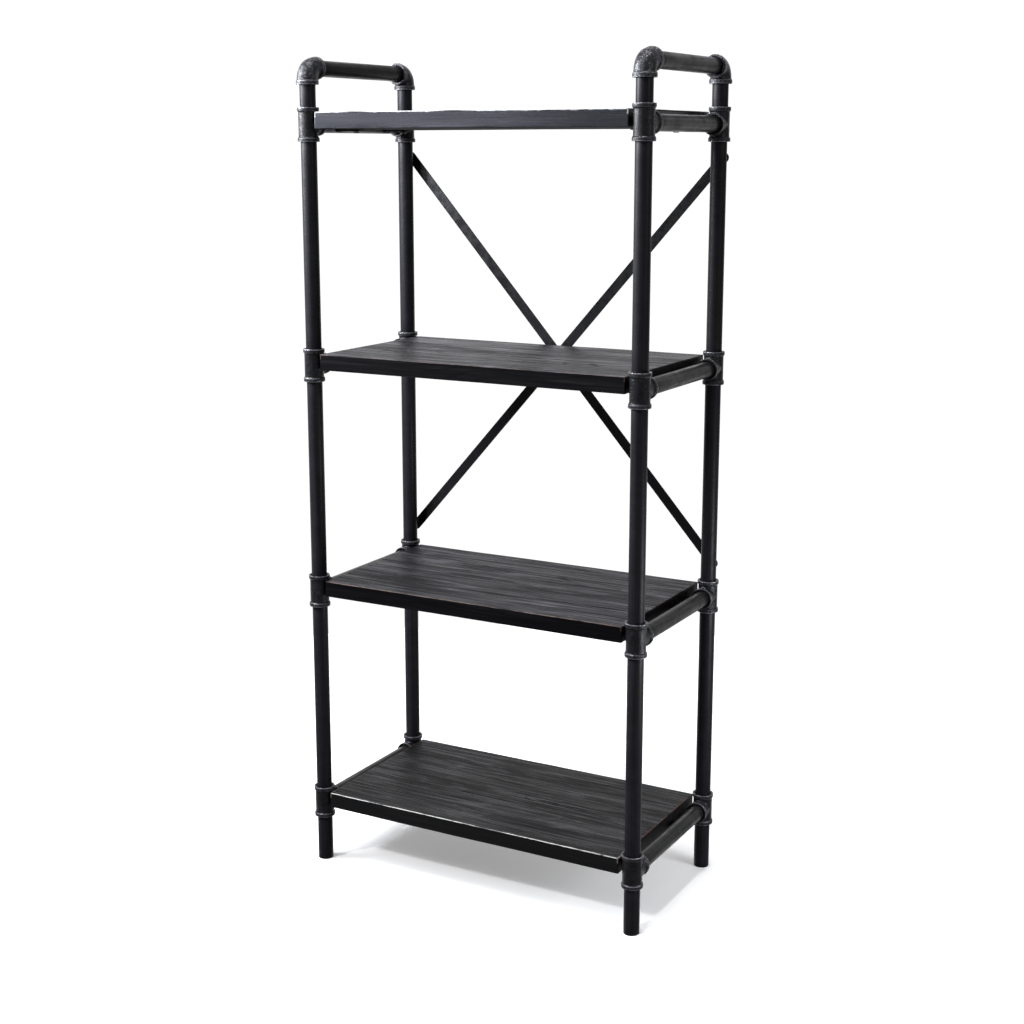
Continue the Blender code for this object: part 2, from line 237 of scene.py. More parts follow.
def turned(outline, path=upright, sides=PIPE_SIDES, closed=True):
    """Points and faces of an outline of (along, radius) turned round a path.
    A closed outline makes a ring-shaped shell, an open one a solid with flat ends."""
    points = []
    for along, radius in outline:
        centre, across, side = path(along)
        for step in range(sides):
            angle = math.tau * step / sides
            points.append(centre + radius * (math.cos(angle) * across + math.sin(angle) * side))
    rings = len(outline)
    faces = ring_faces(rings, sides, closed)
    if not closed:
        faces.append(range(sides - 1, -1, -1))
        faces.append(range((rings - 1) * sides, rings * sides))
    return points, faces


def combined(base, tool, operation):
    """The Boolean of two meshes, as a new mesh."""
    holders = [bpy.data.objects.new("holder", mesh) for mesh in (base, tool)]
    for holder in holders:
        SCENE.collection.objects.link(holder)
    cut = holders[0].modifiers.new("cut", "BOOLEAN")
    cut.object = holders[1]
    cut.operation = operation
    cut.solver = "EXACT"
    graph = bpy.context.evaluated_depsgraph_get()
    mesh = bpy.data.meshes.new_from_object(holders[0].evaluated_get(graph))
    for holder in holders:
        bpy.data.objects.remove(holder)
    return mesh


def mark(mesh, name, values):
    """Stores one number for each point, for the materials to read."""
    layer = mesh.attributes.new(name, "FLOAT", "POINT")
    layer.data.foreach_set("value", np.asarray(values, dtype=np.float32))


def points_of(mesh):
    flat = np.empty(len(mesh.vertices) * 3)
    mesh.vertices.foreach_get("co", flat)
    return flat.reshape(-1, 3)


def smooth(low, high, value):
    """0 below low, 1 above high and a soft step between."""
    part = np.clip((value - low) / (high - low), 0, 1)
    return part * part * (3 - 2 * part)


# ---------------------------------------------------------------- material tools
class Finish:
    """One material's node tree, with a short call for each kind of node."""

    def __init__(self, name):
        self.material = bpy.data.materials.new(name)
        self.material.use_nodes = True
        self.tree = self.material.node_tree
        self.shader = self.tree.nodes["Principled BSDF"]

    def feed(self, socket, value):
        if isinstance(value, bpy.types.NodeSocket):
            self.tree.links.new(value, socket)
        else:
            socket.default_value = value

    def node(self, kind, inputs=(), **settings):
        made = self.tree.nodes.new(kind)
        for key, value in settings.items():
            setattr(made, key, value)
        for key, value in dict(inputs).items():
            self.feed(made.inputs[key], value)
        return made

    def set(self, **values):
        for key, value in values.items():
            self.feed(self.shader.inputs[key.replace("_", " ").title().replace("Ior", "IOR")], value)

    def local(self):
        return self.node("ShaderNodeTexCoord").outputs["Object"]

    def place(self):
        return self.node("ShaderNodeNewGeometry").outputs["Position"]

    def scaled(self, vector, scale, shift=(0, 0, 0)):
        """Shifts, then scales a vector."""
        moved = self.node("ShaderNodeVectorMath", {0: vector, 1: shift}, operation="ADD")
        sized = self.node("ShaderNodeVectorMath", {0: moved.outputs[0], 1: scale}, operation="MULTIPLY")
        return sized.outputs[0]

    def noise(self, vector, detail=3.0, roughness=0.5, distortion=0.0):
        inputs = {"Vector": vector, "Scale": 1.0, "Detail": detail, "Roughness": roughness,
                  "Distortion": distortion}
        return self.node("ShaderNodeTexNoise", inputs).outputs[0]

    def math(self, operation, first, second=0.0, third=0.0):
        made = self.node("ShaderNodeMath", {0: first, 1: second, 2: third}, operation=operation)
        return made.outputs[0]

    def band(self, value, low, high, start=0.0, end=1.0):
        """A soft step from start to end as the value goes from low to high."""
        inputs = {"Value": value, 1: low, 2: high, 3: start, 4: end}
        return self.node("ShaderNodeMapRange", inputs, interpolation_type="SMOOTHSTEP").outputs[0]

    def ramp(self, value, stops):
        made = self.node("ShaderNodeValToRGB", {0: value})
        elements = made.color_ramp.elements
        while len(elements) < len(stops):
            elements.new(0.5)
        for element, (position, color) in zip(elements, stops):
            element.position = position
            element.color = (*color, 1.0)
        return made.outputs[0]

    def mix(self, share, first, second, blend="MIX"):
        made = self.node("ShaderNodeMix", data_type="RGBA", blend_type=blend)
        for index, value in ((0, share), (6, first), (7, second)):
            value = (*value, 1.0) if isinstance(value, tuple) else value
            self.feed(made.inputs[index], value)
        return made.outputs[2]

    def length(self, vector):
        return self.node("ShaderNodeVectorMath", {0: vector}, operation="LENGTH").outputs["Value"]

    def split(self, vector):
        return self.node("ShaderNodeSeparateXYZ", {0: vector}).outputs

    def join(self, x, y, z):
        return self.node("ShaderNodeCombineXYZ", {0: x, 1: y, 2: z}).outputs[0]

    def mark(self, name):
        return self.node("ShaderNodeAttribute", attribute_name=name).outputs["Fac"]

    def bump(self, layers):
        """Adds (height, depth) layers of relief to the surface's normal, coarsest first."""
        normal = None
        for height, depth in layers:
            made = self.node("ShaderNodeBump", {"Height": height, "Distance": depth, "Strength": 1.0})
            if normal is not None:
                self.feed(made.inputs["Normal"], normal)
            normal = made.outputs[0]
        self.feed(self.shader.inputs["Normal"], normal)


def shade(color, share):
    return tuple(share * part for part in color)


def charcoal(name, low, high, streak_scale, roughness, gloss):
    """Satin paint on drawn steel: soft mottling, drawing streaks and a few pale scuffs."""
    made = Finish(name)
    place = made.place()
    mottle = made.noise(made.scaled(place, (38, 38, 38)), detail=4, roughness=0.6)
    streak = made.noise(made.scaled(place, streak_scale), detail=4, roughness=0.55)
    tone = made.math("MULTIPLY_ADD", streak, 0.6, made.math("MULTIPLY", mottle, 0.4))
    middle_tone = tuple((a + b) / 2 for a, b in zip(low, high))
    color = made.ramp(tone, [(0.40, low), (0.50, middle_tone), (0.60, high)])
    scuff = made.band(made.noise(made.scaled(place, (95, 95, 30)), detail=3, roughness=0.6), 0.62, 0.76)
    color = made.mix(made.math("MULTIPLY", scuff, 0.4), color, shade(high, 1.8))
    made.set(base_color=color, roughness=made.band(tone, 0.40, 0.60, roughness[1], roughness[0]))
    made.set(specular_ior_level=gloss)
    made.bump([(mottle, 0.0005), (streak, 0.00005)])
    return made.material


def cast(name, low, high, pewter, bare_and_sheen_share=0.15):
    """Cast fitting: coarse mottled skin, rubbed to pewter where it stands proud, with pewter patches that on
    the elbows are partly painted light.
    """
    made = Finish(name)
    place = made.place()
    coarse = made.noise(made.scaled(place, (190, 190, 190)), detail=5, roughness=0.68, distortion=1.2)
    cloud = made.noise(made.scaled(place, (40, 40, 40)), detail=2)
    grit = made.noise(made.scaled(place, (520, 520, 520)), detail=3, roughness=0.6)
    tone = made.math("MULTIPLY_ADD", coarse, 0.65, made.math("MULTIPLY", cloud, 0.35))
    color = made.ramp(tone, [(0.42, low), (0.50, high), (0.60, shade(high, 2.2))])
    rub = made.math("MULTIPLY", made.mark("rub"), made.band(coarse, 0.40, 0.56, 0.15, 1.0))
    # pewter patches: bare metal, and on the elbows partly painted light
    bare_and_sheen = made.band(coarse, 0.52, 0.62, 0.0, bare_and_sheen_share)
    shown = made.math("MAXIMUM", rub, bare_and_sheen)
    color = made.mix(shown, color, pewter)
    made.set(base_color=color, roughness=made.band(tone, 0.40, 0.60, 0.42, 0.24))
    made.set(metallic=made.math("MULTIPLY", shown, 0.9), specular_ior_level=0.35)
    made.bump([(cloud, 0.0016), (coarse, 0.0007), (grit, 0.00010)])
    return made.material


# near black, painted as shade inside the cracks and the sunk checks
CRACK_SHADE = (0.001, 0.001, 0.001)


def late_wood(made, chance, local, shift):
    """The dark bands of the growth rings, and how near a point is to one of two knots.
    The rings lie round a leaning axis along X, and the knots push them aside."""
    x, y, z = made.split(local)
    drift = made.noise(made.scaled(local, (2.2, 7, 7), shift), detail=2)
    wobble = made.noise(made.scaled(local, (7, 45, 45), shift), detail=3)
    axis_y = chance.uniform(-0.07, 0.07)
    lean_y = chance.uniform(-0.05, 0.05)
    lean_z = chance.choice((-1, 1)) * chance.uniform(0.04, 0.07)
    away_y = made.math("ADD", made.math("MULTIPLY_ADD", x, lean_y, y), axis_y)
    away_z = made.math("ADD", made.math("MULTIPLY_ADD", x, lean_z, z), 0.085)
    ring = made.length(made.join(0.0, away_y, away_z))
    ring = made.math("MULTIPLY_ADD", drift, 0.050, ring)
    ring = made.math("MULTIPLY_ADD", wobble, 0.0045, ring)
    knots = 0.0
    for _ in range(2):
        spot = (chance.uniform(-0.28, 0.28), chance.uniform(-0.14, 0.14), 0)
        offset = made.scaled(local, (14, 34, 34), tuple(-part for part in spot))
        knots = made.math("ADD", made.band(made.length(offset), 0.0, 1.6, 1.0, 0.0), knots)
    ring = made.math("MULTIPLY_ADD", knots, 0.020, ring)
    phase = made.math("FRACT", made.math("MULTIPLY", ring, 150))
    late = made.math("MULTIPLY", made.band(phase, 0.66, 0.90), made.band(phase, 0.93, 1.0, 1.0, 0.0))
    present = made.noise(made.scaled(local, (5, 30, 30), shift), detail=2)
    return made.math("MULTIPLY", late, made.band(present, 0.40, 0.60)), knots


def edge_wear_and_sheen(made, local, shift, cover, reach):
    """Chipped upper arrises, along which some boards also carry a painted highlight: 1 where a point is near
    two of the board's faces at once, in patches.
    """
    x, y, z = made.split(local)
    gaps = []
    for axis, half in zip((x, y, z), SHELF_HALF):
        gaps.append(made.math("SUBTRACT", made.math("ABSOLUTE", axis), half))
    nearer = made.math("MINIMUM", gaps[0], gaps[1])
    further = made.math("MAXIMUM", gaps[0], gaps[1])
    edge = made.math("MAXIMUM", nearer, made.math("MINIMUM", further, gaps[2]))
    chip = made.noise(made.scaled(local, (55, 260, 260), shift), detail=4, roughness=0.65)
    patch = made.noise(made.scaled(local, (7, 20, 20), shift), detail=2)
    wear_and_sheen = made.band(made.math("MULTIPLY_ADD", chip, reach, edge), 0.0002, 0.0012)
    wear_and_sheen = made.math("MULTIPLY", wear_and_sheen, made.band(patch, cover, cover + 0.10))
    return made.math("MULTIPLY", wear_and_sheen, made.band(z, 0.004, 0.010))


def timber(name, seed, tone, tint, *, gloss, edge_wear_and_sheen_color, edge_share, edge_cover, edge_reach, end_color,
           end_share, side_stain_and_shade, side_roughness):
    """Black-stained brushed softwood with open grain above and smooth sides.
    The edge values are for the front arris, which is worn and on the bottom and top boards also paled into a
    painted highlight, and the end values are for the worn arrises at the board's ends."""
    made = Finish(name)
    chance = random.Random(seed)
    local = made.local()
    shift = tuple(chance.uniform(-40, 40) for _ in range(3))
    x, y, z = made.split(local)
    upface = made.band(z, SHELF_HALF[2] - 0.0030, SHELF_HALF[2] - 0.0014)
    stain = shade(tint, tone)
    late, knots = late_wood(made, chance, local, shift)

    # fibres, stain and paler worn patches on the upper face
    fibre = made.noise(made.scaled(local, (12, 700, 700), shift), detail=3, roughness=0.6)
    streak = made.noise(made.scaled(local, (4.5, 210, 210), shift), detail=6, roughness=0.68)
    grain = made.noise(made.scaled(local, (6, 95, 95), shift), detail=4, roughness=0.6)
    broad = made.noise(made.scaled(local, (2.2, 30, 30), shift), detail=3, roughness=0.5)
    blotch = made.noise(made.scaled(local, (9, 22, 22), shift), detail=4, roughness=0.6, distortion=0.8)
    value = made.math("MULTIPLY_ADD", streak, 0.55, made.math("MULTIPLY", broad, 0.17))
    value = made.math("MULTIPLY_ADD", grain, 0.28, value)
    value = made.math("MULTIPLY_ADD", late, -0.07, value)
    value = made.math("MULTIPLY_ADD", made.math("SUBTRACT", fibre, 0.5), 0.16, value)
    value = made.math("MULTIPLY_ADD", knots, -0.04, value)
    stops = ((0.39, 0.25), (0.48, 0.85), (0.55, 1.7), (0.64, 5.0))
    color = made.ramp(value, [(place, shade(stain, share)) for place, share in stops])
    bloom = made.math("MULTIPLY", made.band(blotch, 0.54, 0.66), made.band(streak, 0.40, 0.56))
    bloom = made.math("MULTIPLY", bloom, upface)
    color = made.mix(bloom, color, shade(stain, 6.5))

    # long fine cracks painted near black as shade, each with a pale painted highlight along one side, where
    # light catches its wall
    lines = (2.0, 85, 85)
    crack = made.band(made.noise(made.scaled(local, lines, shift), detail=2, roughness=0.4), 0.64, 0.68)
    beside = tuple(part + step for part, step in zip(shift, (0, -0.0030, 0)))
    crack = made.math("MULTIPLY", crack, upface)
    lip = made.band(made.noise(made.scaled(local, lines, beside), detail=2, roughness=0.4), 0.64, 0.68)
    lip = made.math("MULTIPLY", made.math("MULTIPLY", lip, upface), 0.75)
    # a painted highlight on each lip, then painted shade in the cracks and in the checks sunk into the board
    color = made.mix(lip, color, shade(stain, 10.0))
    color = made.mix(made.math("MULTIPLY", crack, 0.9), color, CRACK_SHADE)
    color = made.mix(made.band(made.mark("sunk"), 0.15, 0.8), color, CRACK_SHADE)
    # each board's sides take their own tone, set board by board: partly stain, partly painted light and shade
    color = made.mix(made.math("MULTIPLY_ADD", upface, -0.75, 0.75), color, shade(stain, side_stain_and_shade))

    wear_and_sheen = edge_wear_and_sheen(made, local, shift, edge_cover, edge_reach)
    front = made.band(y, -SHELF_HALF[1] + 0.03, -SHELF_HALF[1] + 0.01)
    # the front arris: wear, which on the bottom and top boards is pale, partly a painted highlight
    color = made.mix(made.math("MULTIPLY", made.math("MULTIPLY", wear_and_sheen, front), edge_share), color, edge_wear_and_sheen_color)
    end = made.band(made.math("ABSOLUTE", x), SHELF_HALF[0] - 0.006, SHELF_HALF[0] - 0.001)
    color = made.mix(made.math("MULTIPLY", made.math("MULTIPLY", wear_and_sheen, end), end_share), color, end_color)

    # the brushed face is rougher in its dark grain, the sides are even and the underside is raw
    extra = made.math("SUBTRACT", made.band(value, 0.40, 0.58, 0.60, 0.30), side_roughness)
    rough = made.math("MULTIPLY_ADD", upface, extra, side_roughness)
    below = made.band(z, -SHELF_HALF[2] + 0.0030, -SHELF_HALF[2] + 0.0010)
    rough = made.math("MAXIMUM", rough, below)
    made.set(base_color=color, roughness=rough, specular_ior_level=gloss)
    made.set(specular_tint=(*shade(tint, 1 / max(tint)), 1.0))
    relief = made.math("MULTIPLY", streak, made.math("MULTIPLY_ADD", upface, 0.86, 0.14))
    made.bump([(crack, -0.0006), (made.math("MULTIPLY", late, upface), -0.0004), (relief, 0.0011),
               (made.math("MULTIPLY", fibre, upface), 0.0004)])
    return made.material


LEG_PAINT = charcoal("leg_charcoal", (0.0085, 0.0085, 0.0106), (0.0175, 0.0172, 0.0215),
                     streak_scale=(200, 200, 4), roughness=(0.40, 0.48), gloss=0.22)
RAIL_PAINT = charcoal("rail_charcoal", (0.006, 0.0062, 0.006), (0.022, 0.0223, 0.0215),
                      streak_scale=(240, 5, 240), roughness=(0.30, 0.48), gloss=0.30)
HANDLE_PAINT = charcoal("handle_charcoal", (0.005, 0.005, 0.0055), (0.016, 0.016, 0.0175),
                        streak_scale=(240, 5, 240), roughness=(0.30, 0.48), gloss=0.25)
BAR_PAINT = charcoal("bar_charcoal", (0.004, 0.004, 0.005), (0.012, 0.012, 0.014),
                     streak_scale=(60, 200, 60), roughness=(0.24, 0.40), gloss=0.30)
TEE_IRON = cast("tee_iron", (0.003, 0.003, 0.004), (0.008, 0.008, 0.010), (0.40, 0.40, 0.44), 0.02)
# the elbows' paler body and many more pewter patches than the tees: partly rubbed metal, partly painted light
ELBOW_IRON_AND_SHEEN = cast("elbow_iron_and_sheen", (0.006, 0.006, 0.008), (0.022, 0.022, 0.026), (0.42, 0.42, 0.46), 0.34)
BOLT_STEEL = cast("bolt_steel", (0.020, 0.020, 0.023), (0.055, 0.055, 0.062), (0.22, 0.22, 0.23))
# the pale edge colours of the bottom and top boards are partly wear, partly a painted highlight on the front
# arris
TIMBERS = {
    "bottom": timber("timber_bottom", 11, 0.0055, (1.0, 1.0, 1.04), gloss=0.115,
                     edge_wear_and_sheen_color=(0.62, 0.62, 0.60), edge_share=0.95, edge_cover=0.34, edge_reach=0.0042,
                     end_color=(0.10, 0.045, 0.03), end_share=0.8, side_stain_and_shade=1.8, side_roughness=0.40),
    "lower": timber("timber_lower", 23, 0.0078, (1.0, 0.975, 1.17), gloss=0.105,
                    edge_wear_and_sheen_color=(0.16, 0.12, 0.10), edge_share=0.8, edge_cover=0.36, edge_reach=0.0042,
                    end_color=(0.08, 0.04, 0.03), end_share=0.5, side_stain_and_shade=0.30, side_roughness=0.38),
    "upper": timber("timber_upper", 37, 0.0125, (1.0, 0.99, 1.11), gloss=0.14,
                    edge_wear_and_sheen_color=(0.14, 0.11, 0.10), edge_share=0.7, edge_cover=0.42, edge_reach=0.0042,
                    end_color=(0.08, 0.05, 0.04), end_share=0.4, side_stain_and_shade=0.15, side_roughness=0.34),
    "top": timber("timber_top", 51, 0.012, (1.0, 1.02, 1.17), gloss=0.46,
                  edge_wear_and_sheen_color=(0.75, 0.75, 0.76), edge_share=0.9, edge_cover=0.36, edge_reach=0.006,
                  end_color=(0.08, 0.05, 0.04), end_share=0.4, side_stain_and_shade=0.5, side_roughness=0.27),
}


# ---------------------------------------------------------------- pipes
def pipe_mesh(name, length, path):
    """A tube of the pipe's size with its edges broken."""
    half = length / 2
    corners = [(end, radius, PIPE_EDGE_BREAK) for end, radius in (
        (-half, PIPE_RADIUS - PIPE_WALL), (-half, PIPE_RADIUS),
        (half, PIPE_RADIUS), (half, PIPE_RADIUS - PIPE_WALL))]
    outline = spaced(eased(corners, steps=2), 0.05)
    return finished_mesh(name, *turned(outline, path))


for face in FACES:
    for side in SIDES:
        for run in LEG_RUNS:
            node = f"leg_{face}_{side}_{run}_pipe"
            low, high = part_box(node)
            centre = (LEG_X[side], LEG_Y[face], (low[2] + high[2]) / 2)
            mesh = pipe_mesh(node, high[2] - low[2], upright)
            put(f"{node}_fine", mesh, LEG_PAINT, centre, nodes=[node])


# ---------------------------------------------------------------- fittings
def mouth_corners(end, radius, collar, width, inward):
    """Half an outline: from the bore, over the lip and the rounded collar, to the body.
    The end is the mouth's place along the path, and inward is the way into the fitting."""
    return [
        (end + inward * MOUTH_DEPTH, BORE_RADIUS, 0),
        (end + inward * 0.0003, MOUTH_RADIUS, 0.0003),
        (end, MOUTH_RADIUS + 0.0006, 0.0003),
        (end, collar - 0.0003, LIP_ROUND),
        (end + inward * LIP_ROUND, collar, LIP_ROUND),
        (end + inward * (width - COLLAR_ROUND), collar, COLLAR_ROUND),
        (end + inward * width, radius + 0.0002, 0.0012),
        (end + inward * (width + 0.002), radius, 0.001),
    ]


def ring_turns():
    return [math.tau * step / FITTING_SIDES for step in range(FITTING_SIDES)]


def branch_mesh():
    """The tee's branch towards +Y: a saddle on the run, a soft fillet, a barrel and a collar.
    It is solid, and its foot ends inside the run."""
    points = []
    collar_start = TEE_BRANCH_REACH - TEE_COLLAR_WIDTH - 0.0005
    foot_sink = 0.0012
    for ring in range(BRANCH_FOOT_RINGS):
        share = ring / BRANCH_FOOT_RINGS
        for angle in ring_turns():
            fillet = BRANCH_FILLET * abs(math.sin(angle))
            saddle = math.sqrt(TEE_RADIUS ** 2 - (BRANCH_RADIUS * math.cos(angle)) ** 2)
            fade = (1 - share) ** 1.6  # draws the rings together near the saddle
            along = (saddle - foot_sink) * fade + collar_start * (1 - fade)
            past = min(max(along - saddle, 0.0), fillet)
            radius = BRANCH_RADIUS + fillet - math.sqrt(max(0.0, fillet ** 2 - (fillet - past) ** 2))
            points.append(Vector((radius * math.cos(angle), along, radius * math.sin(angle))))
    collar = mouth_corners(TEE_BRANCH_REACH, BRANCH_RADIUS, TEE_COLLAR_RADIUS, TEE_COLLAR_WIDTH, -1)
    for along, radius in eased(solid_part(collar)[::-1], 3, closed=False):
        for angle in ring_turns():
            points.append(Vector((radius * math.cos(angle), along, radius * math.sin(angle))))
    rings = len(points) // FITTING_SIDES
    faces = ring_faces(rings, FITTING_SIDES)
    centre = len(points)
    points.append(Vector((0, BORE_RADIUS / 2, 0)))
    faces += [((step + 1) % FITTING_SIDES, step, centre) for step in range(FITTING_SIDES)]
    faces.append(range((rings - 1) * FITTING_SIDES, rings * FITTING_SIDES))
    return finished_mesh("branch", points, faces)


def solid_part(corners):
    """A mouth's outline without its bore, which is cut later."""
    return corners[2:]


def mouth_cut(end, outward):
    """A cutter's outline at a mouth, from the bore out past the end."""
    return [(end - outward * MOUTH_DEPTH, BORE_RADIUS), (end - outward * 0.0003, MOUTH_RADIUS),
            (end + outward * 0.001, MOUTH_RADIUS + 0.0008)]


def tee_mesh():
    """A cast tee: a vertical run with the branch towards +Y, bored from its three mouths."""
    half = TEE_HALF_RUN
    reach = TEE_BRANCH_REACH
    lower, upper = (solid_part(mouth_corners(end, TEE_RADIUS, TEE_COLLAR_RADIUS, TEE_COLLAR_WIDTH, inward))
                    for end, inward in ((-half, 1), (half, -1)))
    outline = spaced(eased(lower + upper[::-1], 3, closed=False), 0.003, closed=False)
    run = finished_mesh("run", *turned(outline, upright, FITTING_SIDES, closed=False))
    body = combined(run, branch_mesh(), "UNION")
    run_cut = mouth_cut(-half, -1)[::-1] + mouth_cut(half, 1)
    branch_cut = [(BRANCH_CUT_START, BORE_RADIUS)] + mouth_cut(reach, 1)
    for cut, path in ((run_cut, upright), (branch_cut, level)):
        outline = [Vector(pair) for pair in cut]
        cutter = finished_mesh("cutter", *turned(outline, path, CUTTER_SIDES, closed=False))
        body = combined(body, cutter, "DIFFERENCE")
    shaded(body)
    place = points_of(body)
    proud = TEE_COLLAR_RADIUS - RIM_WIDTH
    rub = 0
    for radius, past_mouth in ((np.hypot(place[:, 0], place[:, 1]), abs(place[:, 2]) - half),
                               (np.hypot(place[:, 0], place[:, 2]), place[:, 1] - reach)):
        rim = smooth(proud, TEE_COLLAR_RADIUS, radius) * (past_mouth > -TEE_COLLAR_WIDTH)
        rub = rub + rim_bands(rim, past_mouth)
    mark(body, "rub", rub)
    return body


def rim_bands(rim, past_mouth):
    """Rub along the two edges of a collar, and a little on its band."""
    near_lip = smooth(-0.0022, -0.0010, past_mouth)
    near_body = smooth(-TEE_COLLAR_WIDTH + 0.0026, -TEE_COLLAR_WIDTH + 0.0014, past_mouth)
    return rim * np.maximum(0.06, np.maximum(near_lip, near_body))


def elbow_path(along):
    """Up one arm, round the bend and out along +Y. It starts at the lower mouth, and where the
    two arms' axes cross is the origin."""
    bend_length = ELBOW_BEND * math.pi / 2
    across = Vector((1, 0, 0))
    if along <= ELBOW_NECK:
        return Vector((0, 0, along - ELBOW_NECK - ELBOW_BEND)), across, Vector((0, 1, 0))
    if along >= ELBOW_NECK + bend_length:
        reach = along - ELBOW_NECK - bend_length + ELBOW_BEND
        return Vector((0, reach, 0)), across, Vector((0, 0, -1))
    angle = (along - ELBOW_NECK) / ELBOW_BEND
    inward = Vector((0, math.cos(angle), -math.sin(angle)))
    return Vector((0, ELBOW_BEND, -ELBOW_BEND)) - ELBOW_BEND * inward, across, inward


def elbow_mesh():
    """A cast elbow: one outline turned round the bent path, with a collar at each mouth."""
    length = 2 * ELBOW_NECK + ELBOW_BEND * math.pi / 2
    start = mouth_corners(0, ELBOW_RADIUS, ELBOW_COLLAR_RADIUS, ELBOW_COLLAR_WIDTH, 1)
    end = mouth_corners(length, ELBOW_RADIUS, ELBOW_COLLAR_RADIUS, ELBOW_COLLAR_WIDTH, -1)
    outline = spaced(eased(start + end[::-1], 3), 0.0025)
    mesh = finished_mesh("elbow", *turned(outline, elbow_path, FITTING_SIDES))
    rub = []
    for along, radius in outline:
        past_mouth = -min(along, length - along)
        rim = smooth(ELBOW_COLLAR_RADIUS - RIM_WIDTH, ELBOW_COLLAR_RADIUS, radius)
        rub += [float(rim_bands(rim, past_mouth))] * FITTING_SIDES
    mark(mesh, "rub", rub)
    return mesh


TEE = tee_mesh()
ELBOW = elbow_mesh()
for face in FACES:
    for side in SIDES:
        spin = 0.0 if face == "front" else math.pi
        for tier in LEVELS:
            node = f"tee_{face}_{side}_{tier}"
            place = (LEG_X[side], LEG_Y[face], LEVEL_Z[tier])
            put(f"{node}_cast", TEE, TEE_IRON, place, spin, [node])
        node = f"elbow_{face}_{side}"
        place = (LEG_X[side], LEG_Y[face], HANDLE_Z)
        put(f"{node}_cast", ELBOW, ELBOW_IRON_AND_SHEEN, place, spin, [node])


# ---------------------------------------------------------------- side rails and handles
def lathe(name, corners, path=upright, sides=32, longest=0.004):
    """A turned solid from (along, radius, ease) corners, with flat ends."""
    outline = spaced(eased(corners, 4, closed=False), longest, closed=False)
    return finished_mesh(name, *turned(outline, path, sides, closed=False))


def plate_mesh(name, outline, holes, thickness, bevel):
    """A flat plate with round holes and softened edges, lying in XY and centred on Z = 0."""
    curve = bpy.data.curves.new(name, "CURVE")
    curve.dimensions = "2D"
    curve.fill_mode = "BOTH"
    curve.extrude = thickness / 2 - bevel
    curve.bevel_depth = bevel
    curve.bevel_resolution = 1
    loops = [outline]
    for x, y, radius in holes:
        loops.append([(x + radius * math.cos(turn), y + radius * math.sin(turn))
                      for turn in np.linspace(0, math.tau, 24, endpoint=False)])
    for loop in loops:
        spline = curve.splines.new("POLY")
        spline.points.add(len(loop) - 1)
        for point, (x, y) in zip(spline.points, loop):
            point.co = (x, y, 0, 1)
        spline.use_cyclic_u = True
    holder = bpy.data.objects.new("holder", curve)
    SCENE.collection.objects.link(holder)
    graph = bpy.context.evaluated_depsgraph_get()
    mesh = bpy.data.meshes.new_from_object(holder.evaluated_get(graph))
    bpy.data.objects.remove(holder)
    shape = bmesh.new()
    shape.from_mesh(mesh)
    bmesh.ops.remove_doubles(shape, verts=shape.verts, dist=0.00002)
    bmesh.ops.recalc_face_normals(shape, faces=shape.faces)
    shape.to_mesh(mesh)
    shape.free()
    return shaded(mesh, 20)


def weld_mesh(name, length, radius, seed, steps=40):
    """A weld bead along Y: a rippled rope of metal with tapering ends."""
    chance = random.Random(seed)
    outline = []
    for step in range(steps + 1):
        part = step / steps
        end_taper = math.sqrt(max(0.02, 1 - abs(2 * part - 1) ** 6))
        ripple = 1 + 0.10 * math.sin(part * length / WELD_RIPPLE) + chance.uniform(-0.05, 0.05)
        outline.append(Vector(((part - 0.5) * length, radius * end_taper * ripple)))
    return finished_mesh(name, *turned(outline, level, 12, closed=False), sharp_angle=50)


def tab_outline(reach):
    """The tab in XY: its welded end at X = 0 and its rounded free end at X = reach."""
    half = TAB_WIDTH / 2
    corners = [(0, -half, 0), (reach, -half, TAB_CORNER), (reach, half, TAB_CORNER), (0, half, 0)]
    return [tuple(point) for point in eased(corners, 6)]


def screw_mesh():
    """A pan head with a six-sided socket and a short shank, pointing up."""
    head = SCREW_HEAD_HEIGHT
    wide = SCREW_HEAD_RADIUS
    corners = [(-head, wide * 0.5, 0), (-head, wide * 0.72, 0.001), (-head * 0.55, wide, 0.0014),
               (0, wide, 0.0003), (0, SCREW_RADIUS, 0), (SCREW_LENGTH - 0.001, SCREW_RADIUS, 0.0004),
               (SCREW_LENGTH, SCREW_RADIUS * 0.75, 0)]
    body = lathe("screw", corners)
    ends = [Vector((along, SOCKET_RADIUS)) for along in (-head - 0.001, -head + SOCKET_DEPTH)]
    socket = finished_mesh("socket", *turned(ends, upright, 6, closed=False))
    screw = shaded(combined(body, socket, "DIFFERENCE"))
    mark(screw, "rub", smooth(wide - 0.0016, wide, np.hypot(*points_of(screw)[:, :2].T)))
    return screw


SCREW = screw_mesh()


